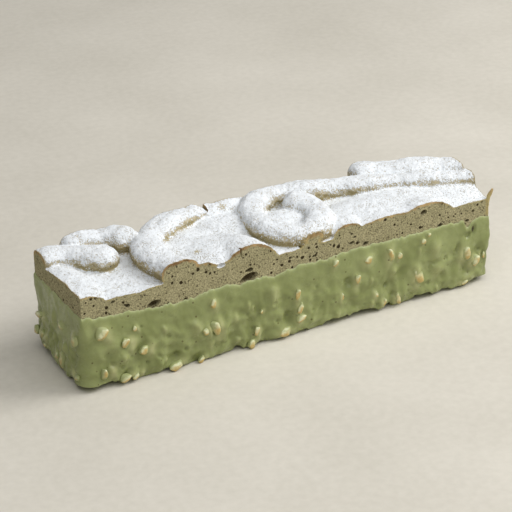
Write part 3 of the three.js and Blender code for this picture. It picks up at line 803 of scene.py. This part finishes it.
def stone_kinds(name, count, corners, boxy, rounding, seed):
    """A few different stones, each one unit long, wide and high, to be strewn in many sizes. Their
    corners lie on a ball where boxy is 2 and nearer to a block the higher it is."""
    kinds = bpy.data.collections.new(name)
    pick = np.random.default_rng(seed)
    for index in range(count):
        stone = bmesh.new()
        for corner in pick.normal(size=(corners, 3)):
            stone.verts.new(corner / (np.abs(corner) ** boxy).sum() ** (1 / boxy))
        hull = bmesh.ops.convex_hull(stone, input=stone.verts)
        bmesh.ops.delete(stone, geom=hull["geom_interior"], context="VERTS")
        bmesh.ops.subdivide_edges(stone, edges=stone.edges, cuts=2, use_grid_fill=True, smooth=rounding)
        for _ in range(2):
            bmesh.ops.smooth_vert(
                stone, verts=stone.verts, factor=0.5, use_axis_x=True, use_axis_y=True, use_axis_z=True,
            )
        points = np.array([v.co for v in stone.verts])
        low, high = points.min(axis=0), points.max(axis=0)
        for vertex, point in zip(stone.verts, (points - (low + high) / 2) / (high - low)):
            vertex.co = point
        bmesh.ops.recalc_face_normals(stone, faces=stone.faces)
        mesh = bpy.data.meshes.new(f"{name}_{index}")
        stone.to_mesh(mesh)
        stone.free()
        mesh.shade_smooth()
        kinds.objects.link(bpy.data.objects.new(f"{name}_{index}", mesh))
    return kinds


def hollows(kinds, material):
    """The large pores of the cut front and the hollows in the top, as bodies to cut away."""
    tops = [*HOLLOWS, (*SUGARED_NOTCH, 0)]
    places = [(x, -HALF_WIDTH, z) for x, z, *_ in FRONT_PORES] + [place for place, *_ in tops]
    sizes = [(wide, PORE_DEPTH, high) for _, _, wide, high, _ in FRONT_PORES]
    sizes += [size for _, size, _ in tops]
    turns = [(0, -math.radians(slant), 0) for *_, slant in FRONT_PORES]
    turns += [(0, 0, math.radians(turn)) for *_, turn in tops]
    return stones("hollows", places, sizes, turns, kinds, material)


def corner_flake():
    """The strip of end crust left on the front right corner, which curls up and out over the top."""
    rings = []
    turns = np.linspace(0, math.tau, 12, endpoint=False)
    for share in np.linspace(0, 1, 22):
        x = np.interp(share, *zip(*FLAKE_LEAN))
        y = 0.3 - 0.4 * share - HALF_WIDTH
        z = FLAKE_FOOT + (FLAKE_TIP - FLAKE_FOOT) * share
        wide = np.interp(share, *zip(*FLAKE_WIDTH)) * (1 + 0.15 * math.sin(17 * share))
        rings.append([
            (x + wide * math.cos(turn), y + FLAKE_HALF_THICK * math.sin(turn), z) for turn in turns
        ])
    return shown("corner_flake", ringed_solid("corner_flake", rings))


def bake(material):
    """The untrimmed loaf as it leaves the oven: block and ropes grown together, with a crisp skin."""
    loaf = plain_block()
    ropes = grown(piping_guides(), piping_tree(), "ropes", {
        "Step": 0.7 * MM, "Sides": 40, "Depth": ROPE_DEPTH * MM, "Fullness": ROPE_FULLNESS,
        "Cake Top": SPONGE_TOP * MM, "Wobble": ROPE_WOBBLE, "Wobble Rate": ROPE_WOBBLE_RATE / MM,
        "Lump Size": 7 * MM, "Lump Height": 1.5 * MM, "Material": material,
    })
    both = bmesh.new()
    both.from_mesh(loaf.data)
    both.from_mesh(ropes.data)
    both.to_mesh(loaf.data)
    both.free()
    bpy.data.objects.remove(ropes)
    remesh = loaf.modifiers.new("grown_together", "REMESH")
    remesh.mode = "VOXEL"
    remesh.voxel_size = BAKED_VOXEL * MM
    settle(loaf)
    places = places_of(loaf.data)
    rough = lumps(places, BAKED_LUMPS) * (places[:, 2] > BAKED_FROM)
    places += vectors_of(loaf.data, "normal") * rough[:, None]
    loaf.data.vertices.foreach_set("co", (places * MM).ravel())
    loaf.data.update()
    return loaf


def sifted_on(mesh, from_edge):
    """How much sifted sugar each point keeps: 1 on an open level place, none below an overhang and
    little beside the cut edge of a rope or where a finger touched it."""
    tree = BVHTree.FromPolygons([v.co for v in mesh.vertices], [p.vertices for p in mesh.polygons])
    # It falls from straight above, and from a little to three sides.
    falls = [Vector((0, 0, 1))]
    falls += [Vector((math.cos(a), math.sin(a), 3.5)).normalized() for a in (0.4, 2.5, 4.6)]
    kept = np.zeros(len(mesh.vertices))
    for index, vertex in enumerate(mesh.vertices):
        level = vertex.normal.z
        if level < -0.1 or vertex.co.z < BAKED_FROM * MM:
            continue
        start = vertex.co + vertex.normal * 0.3 * MM
        open_sky = sum(tree.ray_cast(start, fall)[0] is None for fall in falls) / len(falls)
        # The steeper a flank is, the less it keeps.
        kept[index] = (0.5 + 0.5 * open_sky) * min(max(1.4 * level + 0.08, 0), 1)
    places = places_of(mesh)
    on_rope = np.clip((places[:, 2] - RUBBED_ABOVE) / 2, 0, 1)
    here_and_there = np.clip(0.2 + lumps(places, RUBBED_LUMPS), 0, 1)
    kept *= 1 - np.maximum(on_rope, here_and_there) * np.clip(1 - from_edge / RUBBED, 0, 1)
    for x, y, z, radius in RUBBED_SPOTS:
        away = np.linalg.norm(places - (x, y, z), axis=1)
        kept *= 1 - np.exp(-((away / radius) ** 2))
    return kept


def sponge(crumb, crust):
    """The loaf after the knife: trimmed, its pores and hollows open, and the flake left on."""
    loaf = bake(crust)
    skin = BVHTree.FromObject(loaf, bpy.context.evaluated_depsgraph_get())
    cut(loaf, cutting_block(), "INTERSECT")
    bubbles = stone_kinds("bubble", count=4, corners=26, boxy=2, rounding=1, seed=12)
    cut(loaf, hollows(bubbles, crumb), "DIFFERENCE")
    pores = grown(crumb_band(), pore_tree(), "pores", {
        "Clear": 1.75 * MM, "Most": 0.16 / MM ** 2, "Smallest": 0.5 * MM, "Widest": 1.5 * MM, "Seed": 21,
        "Material": crumb,
    })
    cut(loaf, pores, "DIFFERENCE")
    flake = corner_flake()
    flake_skin = BVHTree.FromObject(flake, bpy.context.evaluated_depsgraph_get())
    cut(loaf, flake, "UNION")
    loaf.name = "sponge_cake"
    mesh = loaf.data
    smooth_up_to(SPONGE_SOFT, mesh)
    below = np.array([
        min(skin.find_nearest(v.co)[3], flake_skin.find_nearest(v.co)[3]) / MM for v in mesh.vertices
    ])
    places = places_of(mesh)
    inside = np.minimum(HALF_LENGTH - np.abs(places[:, 0]), HALF_WIDTH - np.abs(places[:, 1]))
    store(mesh, "below_crust", np.minimum(below, CRUST_REACH))
    store(mesh, "in_pore", np.clip(np.minimum(inside, below) / PORE_SHADE - 0.3, 0, 1))
    dusting = sifted_on(mesh, inside)
    notch_middle, notch_size = SUGARED_NOTCH
    # Its surface is at 0.5, and a little beyond that the sugar lies round it.
    in_notch = np.linalg.norm((places - notch_middle) / notch_size, axis=1) < 0.53
    dusting[in_notch] = 1
    store(mesh, "dusting", dusting)
    mesh.materials.clear()
    mesh.materials.append(crumb)
    mesh.materials.append(crust)
    on_skin = [
        skin.find_nearest(face.center)[3] < ON_SKIN * MM or in_notch[list(face.vertices)].all()
        for face in mesh.polygons
    ]
    mesh.polygons.foreach_set("material_index", np.array(on_skin, np.int32))
    return loaf


# ---- Glaze ----
RIM_X = HALF_LENGTH + GAP + RIM_OUT
RIM_Y = HALF_WIDTH + GAP + RIM_OUT


def unevenness(x, y, z):
    """Slow unevenness from -1 to 1 over space, with lumps about 15 to 40 mm apart."""
    slow = np.sin(x * 0.17 + y * 0.11 + 1.3) * np.cos(y * 0.23 - z * 0.19 + 0.4)
    quick = np.sin(x * 0.41 - z * 0.33 + y * 0.29) * np.cos(z * 0.45 + x * 0.13 + 2.1)
    return 0.55 * slow + 0.45 * quick


def rim_height(x, y, out_x, out_y):
    """Height of the glaze's rim, before its small teeth, at a place on its outline."""
    ripple = 0.7 * np.sin(x * 0.62 + y * 0.5) + 0.4 * np.sin(x * 1.1 - y * 0.9)
    front = np.interp(x, *zip(*FRONT_RIM)) + 0.4 * ripple
    other = np.where(out_x > 0.7, RIGHT_RIM, BACK_RIM) + 0.7 * ripple
    return np.where(out_y < -0.7, front, np.where(out_x < -0.7, LEFT_RIM + 0.4 * ripple, other))


def wall_out(x, y, z, rim):
    """How far the glaze's face stands out of its rim's line at a height, before its fine relief."""
    down = np.clip((rim - z) / BELLY_DROP, 0, 1)
    down = down * down * (3 - 2 * down)
    low = np.clip(1 - z / GLAZE_FOOT, 0, 1)
    tuck = GLAZE_TUCK * (1 - np.sqrt(1 - low * low)) * (1 + 0.35 * unevenness(2 * x, 2 * y, 9))
    return (BELLY_OUT + 0.4 * unevenness(x, y, z)) * down - tuck


def draws(seed):
    """A repeatable run of draws from 0 to 1."""
    state = seed
    while True:
        state = (state * 1664525 + 1013904223) % 4294967296
        yield state / 4294967296


def on_wall(side, along):
    """The point of the rim's line on a side of the cake, and the direction out of it."""
    if side in ("front", "back"):
        out = -1 if side == "front" else 1
        return along, out * RIM_Y, 0, out
    out = -1 if side == "left" else 1
    return out * RIM_X, along, out, 0


def listed_nuts(side, pieces, draw):
    """The pieces of a list. Each passes over three draws, as it does where the solids are made, so
    that the scattered pieces lie in the same places."""
    nuts = []
    for along, z, wide, high, slant in pieces:
        nuts.append((*on_wall(side, along), z, wide, high, slant, 1))
        for _ in range(3):
            next(draw)
    return nuts


def scattered_nuts(side, taken, shown_share, draw):
    """One piece in each cell of a loose grid over a side of the wall, skipping the taken places."""
    reach = (RIM_X if side in ("front", "back") else RIM_Y) - NUT_END_CLEAR
    columns = round(2 * reach / NUT_PITCH)
    tall = BACK_RIM - NUT_LOW - NUT_HIGH_CLEAR
    nuts = []
    for column in range(columns):
        for row in range(NUT_ROW_COUNT):
            along = -reach + (column + 0.15 + 0.7 * next(draw)) * 2 * reach / columns
            z = NUT_LOW + (row + 0.1 + 0.8 * next(draw)) * tall / NUT_ROW_COUNT
            size = SMALLEST_NUT + (WIDEST_NUT - SMALLEST_NUT) * next(draw) ** 1.7
            if all(math.hypot(piece[0] - along, piece[1] - z) > NUT_CLEAR for piece in taken):
                wide = size * (1.1 + 0.7 * next(draw))
                high = size * (1.2 + 0.9 * next(draw))
                turn = [next(draw) for _ in range(3)]
                bare = 1 if turn[0] < shown_share else 0
                nuts.append((*on_wall(side, along), z, wide, high, 40 * (turn[1] - 0.5), bare))
    return nuts


def all_nuts():
    """Every almond piece: x, y, direction out, z, width, height, slant, and 1 where it shows bare."""
    draw = draws(NUT_SEED)
    nuts = listed_nuts("front", FRONT_NUTS, draw)
    nuts += listed_nuts("left", LEFT_NUTS, draw)
    nuts += scattered_nuts("front", FRONT_NUTS, 0, draw)
    nuts += scattered_nuts("back", [], SHOWN_SHARE, draw)
    nuts += scattered_nuts("left", LEFT_NUTS, 0, draw)
    nuts += scattered_nuts("right", [], SHOWN_SHARE, draw)
    nuts += listed_nuts("front", SMALL_FRONT_NUTS, draw)
    nuts += listed_nuts("left", SMALL_LEFT_NUTS, draw)
    return nuts


def nut_depth(wide, high):
    """Half the thickness of an almond piece, out of the wall."""
    return 0.3 * min(wide, high) + 0.5


def hill(away):
    """A soft mound that is 1 in the middle and nearly gone at twice its radius."""
    return np.exp(-(away ** 2.4) * 0.75)


def pits():
    """Small holes that air left in the glaze: x, y, z and radius."""
    pick = np.random.default_rng(11)
    for _ in range(PIT_COUNT):
        side = pick.choice(["front", "back", "left", "right"], p=[0.4, 0.4, 0.1, 0.1])
        reach = RIM_X if side in ("front", "back") else RIM_Y
        x, y, _, _ = on_wall(side, pick.uniform(-reach, reach))
        yield x, y, pick.uniform(1, 27) * pick.uniform(0.6, 1), pick.uniform(0.5, 1.5)


def glaze_relief(points, nuts):
    """Fine relief of the poured wall at points in millimetres, and how thin it lies over almonds."""
    x, y, z = points.T
    out = np.zeros(len(points))
    thin = np.zeros(len(points))
    for nut_x, nut_y, _, _, nut_z, wide, high, _, bare in nuts:
        across = np.hypot(x - nut_x, y - nut_y) / (wide / 2)
        drop = np.where(z < nut_z, 0.6, 1)      # the glaze drains to below the nut
        away = np.hypot(across, drop * (z - nut_z) / (high / 2))
        out = np.maximum(out, (1.1 - 0.3 * bare) * nut_depth(wide, high) * hill(away / 1.25))
        thin = np.maximum(thin, (0.9 if bare else 0.4) * hill(away / 1.2))
    front = y < -RIM_Y + 2
    for top_x, top, foot_x, foot, width, proud in FOLDS:
        down = np.clip((top - z) / (top - foot), 0, 1)
        middle = top_x + (foot_x - top_x) * down + 0.5 * np.sin(z * 0.5 + top_x)
        span = np.clip(np.minimum(z - foot, top - z) / 4 + 0.4, 0, 1)
        out += front * proud * span * hill(np.abs(x - middle) / (width / 2))
    for dent_x, dent_z, half_wide, half_high, depth in DENTS:
        away = np.hypot((x - dent_x) / half_wide, (z - dent_z) / half_high)
        out -= front * depth * np.exp(-(away ** 2.6))
    for pit_x, pit_y, pit_z, size in pits():
        away = np.linalg.norm(points - (pit_x, pit_y, pit_z), axis=1) / size
        out -= PIT_DEPTH * size * np.exp(-(away ** 4))
    stretched = points * (1, 1, 0.6)
    # It set smooth below the rim and in rolls and hollows further down.
    rolled = np.clip((GLAZE_SMOOTH_ABOVE - z) / 12, 0.3, 1)
    out += rolled * (lumps(stretched, GLAZE_ROLLS) + lumps(points, GLAZE_HOLLOWS))
    out += lumps(points, GLAZE_GRAIN)
    return out, thin


def glaze(material, nuts):
    """The poured shell: its outer wall, a thin toothed rim that leans on the crumb, and its inside."""
    sharp, directions = outline(RIM_X, RIM_Y, GLAZE_CORNER, GLAZE_CELL, 13)
    rounded, _ = outline(RIM_X, RIM_Y, GLAZE_LOW_CORNER, GLAZE_CELL, 13)
    x, y = sharp.T
    flat = np.column_stack([sharp, np.zeros(len(sharp))])
    even_rim = rim_height(x, y, *directions.T)
    rim = even_rim + lumps(flat, RIM_LUMPS)
    teeth = lumps(flat, RIM_TEETH)
    foot = FOOT_LIFT * np.clip(lumps(flat, FOOT_LUMPS) + 0.6, 0, 1)
    rings = []
    shades = {"thin_over_nut": [], "rim": [], "pooled": []}

    def ring(out, z, **shade):
        low = np.clip((even_rim - ROUNDED_FROM - z) / ROUNDED_OVER, 0, 1)
        low *= np.where(x > 0, RIGHT_ROUNDED, 1)
        out = np.broadcast_to(out, z.shape)
        place = sharp + (rounded - sharp) * low[:, None] + directions * out[:, None]
        rings.append(np.column_stack([place, z]))
        for name, values in shades.items():
            values.append(np.broadcast_to(shade.get(name, 0.0), z.shape))

    ring(-FOOT_RECESS - 1, np.zeros(len(sharp)))
    ring(-FOOT_RECESS, np.minimum(foot, FOOT_RECESS_HIGH))
    for share in np.linspace(0, 1, GLAZE_ROWS):
        # Only the highest rows follow the teeth of the rim.
        z = foot + (rim - foot) * share + teeth * share ** 12
        relief, thin = glaze_relief(np.column_stack([x, y, z]), nuts)
        # The relief is less within 3 mm of the rim and of the floor.
        fade = np.clip((rim - z) / 3, 0.1, 1) * np.clip(0.5 + z / 3, 0, 1)
        # How far into the thin rim a point lies; the colour paints this band paler, partly as a
        # highlight.
        edge = share ** (BACK_RIM / FEATHERED)
        # No hole goes through to the shell's inside, which is further in lower down.
        held = np.maximum(relief, -0.5 - 0.1 * np.clip(CUT_FROM - z, 0, CUT_FROM))
        out = wall_out(x, y, z, even_rim) + held * fade - (RIM_OUT + GAP - 0.1) * edge
        # How deep a point lies in a hollow, which the colour paints darker, partly for thick glaze and
        # partly as shade.
        ring(out, z, thin_over_nut=thin, rim=edge, pooled=np.clip(-relief / 2.6, 0, 1))
    # The rim leans on the crumb, and the inside goes down from just behind it.
    on_crumb = -RIM_OUT - GAP - 0.15
    ring(on_crumb, rim + teeth - 0.3, rim=1.0)
    ring(on_crumb, rim - 1.5)
    ring(-RIM_OUT, rim - 2.5)
    ring(-RIM_OUT - HIDDEN_TAPER, np.full(len(sharp), GLAZE_FLOOR))
    mesh = ringed_solid("glaze_coat", rings)
    for name, values in shades.items():
        store(mesh, name, np.concatenate(values))
    smooth_up_to(GLAZE_SOFT, mesh)
    mesh.materials.append(material)
    return shown("glaze_coat", mesh)


def almonds(material, nuts):
    """The bare almond pieces, each half sunk in the mound that the glaze makes round it."""
    places = []
    sizes = []
    turns = []
    bare = [nut for nut in nuts if nut[-1]]
    for x, y, out_x, out_y, z, wide, high, slant, _ in bare:
        rim = rim_height(x, y, out_x, out_y)
        depth = nut_depth(wide, high)
        reach = wall_out(x, y, z, rim) + depth * (FRONT_SEAT if out_y < 0 else OTHER_SEAT)
        on_floor = max(z, high * NUT_SHARE_SEEN / 2)
        places.append((x + out_x * reach, y + out_y * reach, on_floor))
        sizes.append((wide * NUT_SHARE_SEEN, 2 * depth, high * NUT_SHARE_SEEN))
        turns.append((0, math.radians(slant), math.atan2(out_y, out_x) + math.pi / 2))
    chunks = stone_kinds("almond", count=8, corners=20, boxy=6, rounding=0, seed=30)
    piece = stones("almonds", places, sizes, turns, chunks, material)
    # How proud of its own foot each point of a nut stands, which says where the glaze's skin ends.
    points = places_of(piece.data)
    proud = np.zeros(len(points))
    centres = np.array([nut[:2] + (nut[4],) for nut in bare])
    for index, point in enumerate(points):
        nearest = bare[int(np.argmin(((centres - point) ** 2).sum(axis=1)))]
        x, y, out_x, out_y, z, wide, high = nearest[:7]
        out = (point[0] - x) * out_x + (point[1] - y) * out_y
        base = wall_out(x, y, z, rim_height(x, y, out_x, out_y))
        proud[index] = (out - base) / (1.4 * nut_depth(wide, high))
    store(piece.data, "proud", proud)
    return piece


# ---- Stage ----
FLOOR_REACH = 6000


def camera():
    """A long lens about a metre away, as the photo was taken."""
    yaw, pitch, roll = (math.radians(angle) for angle in (-28.19, 27.12, -1.16))
    turn = Matrix.Rotation(yaw, 4, "Z") @ Matrix.Rotation(math.pi / 2 - pitch, 4, "X")
    back = turn @ Vector((0, 0, 1))
    eye = bpy.data.cameras.new("camera")
    eye.lens = 140.625
    eye.sensor_width = 36
    eye.clip_start = 0.05
    eye.clip_end = 20
    holder = shown("camera", eye)
    aim = Vector((-6.42, 0, 31.7)) * MM
    away = 958.9 * MM
    holder.matrix_world = Matrix.Translation(aim + back * away) @ turn @ Matrix.Rotation(roll, 4, "Z")
    bpy.context.scene.camera = holder


def soft_light(name, place, size, power, colour):
    """A square softbox that faces the cake."""
    box = bpy.data.lights.new(name, "AREA")
    box.shape = "SQUARE"
    box.size = size
    box.energy = power
    box.color = colour
    holder = shown(name, box)
    holder.location = place
    holder.rotation_euler = Vector(place).to_track_quat("Z", "Y").to_euler()


def studio(floor_material):
    """A wide floor, two softboxes and a dim even room."""
    corners = [(x * FLOOR_REACH, y * FLOOR_REACH, 0) for x, y in ((-1, -1), (1, -1), (1, 1), (-1, 1))]
    floor = shown("floor", mesh_of("floor", corners, [[0, 1, 2, 3]]))
    floor.data.materials.append(floor_material)
    soft_light("key", (0.95, -0.35, 0.95), 0.7, 11.6, (1.0, 0.99, 0.97))
    soft_light("overhead", (0.0, -0.6, 1.3), 2.0, 16.2, (1.0, 1.0, 1.0))
    world = bpy.data.worlds.new("soft_room")
    world.use_nodes = True
    world.node_tree.nodes["Background"].inputs["Color"].default_value = hue("#e8e7e3")
    world.node_tree.nodes["Background"].inputs["Strength"].default_value = 0.21
    bpy.context.scene.world = world
    bpy.context.scene.view_settings.view_transform = "Standard"


camera()
studio(plain_floor())
nuts = all_nuts()
pieces = {
    "sponge": [sponge(cut_crumb(), sugared_crust())],
    "glaze": [glaze(green_glaze(), nuts), almonds(chopped_almond(), nuts)],
}
for node, made in pieces.items():
    for piece in made:
        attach(piece, "root")
        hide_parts(node)
